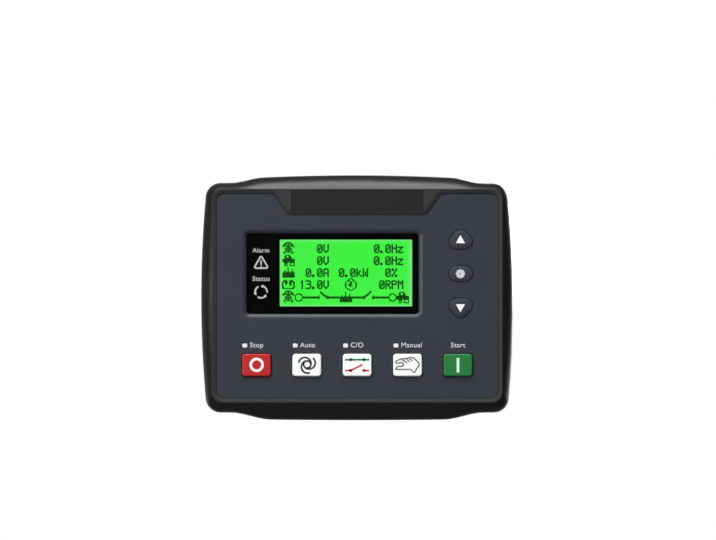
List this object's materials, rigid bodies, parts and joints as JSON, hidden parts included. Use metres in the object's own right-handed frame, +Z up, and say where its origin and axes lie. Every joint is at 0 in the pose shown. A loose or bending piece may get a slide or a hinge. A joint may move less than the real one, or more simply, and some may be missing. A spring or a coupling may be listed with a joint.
{
  "type": "genset controller",
  "caption": "Panel-mounted generator set controller: arched dark bezel, slate face with a lit display window, push keys and lamps, box body behind with screw terminals and clamp clips.",
  "frame": {"origin": "centre of the unit on the rear face of the panel gasket, which is the face of the cabinet panel", "axes": "+Z up, +X to the right as seen from the front, +Y into the cabinet, so the face looks along -Y"},
  "size_m": [0.144, 0.0508, 0.113],
  "materials": {
    "case": "fine satin moulded black plastic",
    "face": "matt slate grey plastic",
    "window": "clear gloss acrylic",
    "mask": "black back print",
    "red_key": "satin red",
    "white_key": "satin white",
    "green_key": "satin green",
    "slate_key": "matt slate grey",
    "switch": "black",
    "lamp": "frosted white",
    "display_frame": "black",
    "display": "lit green display",
    "backlight": "diffuser",
    "board": "green solder mask",
    "chip": "black epoxy",
    "steel": "zinc plated",
    "gasket": "closed-cell foam rubber",
    "terminal": "satin green",
    "relay": "orange case",
    "capacitor": "sleeved can",
    "clip": "glass-filled plastic"
  },
  "bodies": {
    "housing": {"front_case": "case", "face_panel": "face", "display_window": "window", "window_mask": "mask", "stop_lamp": "lamp", "auto_lamp": "lamp", "changeover_lamp": "lamp", "manual_lamp": "lamp", "alarm_light_guide": "lamp", "status_light_guide": "lamp", "display_frame": "display_frame", "display_glass": "display", "display_backlight": "backlight", "display_board": "board", "key_switches": "switch", "indicator_leds": "lamp", "processor_chip": "chip", "board_screws": "steel", "rear_case": "case", "panel_gasket": "gasket", "case_screws": "steel", "main_board": "board", "board_link": "chip", "relays": "relay", "capacitors": "capacitor", "main_board_screws": "steel", "output_socket": "terminal", "input_socket": "terminal", "generator_socket": "terminal", "current_socket": "terminal", "mains_socket": "terminal", "output_plug": "terminal", "input_plug": "terminal", "generator_plug": "terminal", "current_plug": "terminal", "mains_plug": "terminal", "terminal_screws": "steel", "left_clip": "clip", "right_clip": "clip", "clamp_screws": "steel"},
    "stop_button": {"stop_key": "red_key", "stop_plunger": "switch"},
    "auto_button": {"auto_key": "white_key", "auto_plunger": "switch"},
    "changeover_button": {"changeover_key": "white_key", "changeover_plunger": "switch"},
    "manual_button": {"manual_key": "white_key", "manual_plunger": "switch"},
    "start_button": {"start_key": "green_key", "start_plunger": "switch"},
    "up_button": {"up_key": "slate_key", "up_plunger": "switch"},
    "menu_button": {"menu_key": "slate_key", "menu_plunger": "switch"},
    "down_button": {"down_key": "slate_key", "down_plunger": "switch"}
  },
  "joints": [
    {"name": "stop_press", "type": "slide", "parent": "housing", "child": "stop_button", "axis": [0, 1, 0], "range_m": [0, 0.001], "stiffness_N_per_m": 400, "springref_m": -0.003},
    {"name": "auto_press", "type": "slide", "parent": "housing", "child": "auto_button", "axis": [0, 1, 0], "range_m": [0, 0.001], "stiffness_N_per_m": 400, "springref_m": -0.003},
    {"name": "changeover_press", "type": "slide", "parent": "housing", "child": "changeover_button", "axis": [0, 1, 0], "range_m": [0, 0.001], "stiffness_N_per_m": 400, "springref_m": -0.003},
    {"name": "manual_press", "type": "slide", "parent": "housing", "child": "manual_button", "axis": [0, 1, 0], "range_m": [0, 0.001], "stiffness_N_per_m": 400, "springref_m": -0.003},
    {"name": "start_press", "type": "slide", "parent": "housing", "child": "start_button", "axis": [0, 1, 0], "range_m": [0, 0.001], "stiffness_N_per_m": 400, "springref_m": -0.003},
    {"name": "up_press", "type": "slide", "parent": "housing", "child": "up_button", "axis": [0, 1, 0], "range_m": [0, 0.001], "stiffness_N_per_m": 400, "springref_m": -0.003},
    {"name": "menu_press", "type": "slide", "parent": "housing", "child": "menu_button", "axis": [0, 1, 0], "range_m": [0, 0.001], "stiffness_N_per_m": 400, "springref_m": -0.003},
    {"name": "down_press", "type": "slide", "parent": "housing", "child": "down_button", "axis": [0, 1, 0], "range_m": [0, 0.001], "stiffness_N_per_m": 400, "springref_m": -0.003}
  ]
}
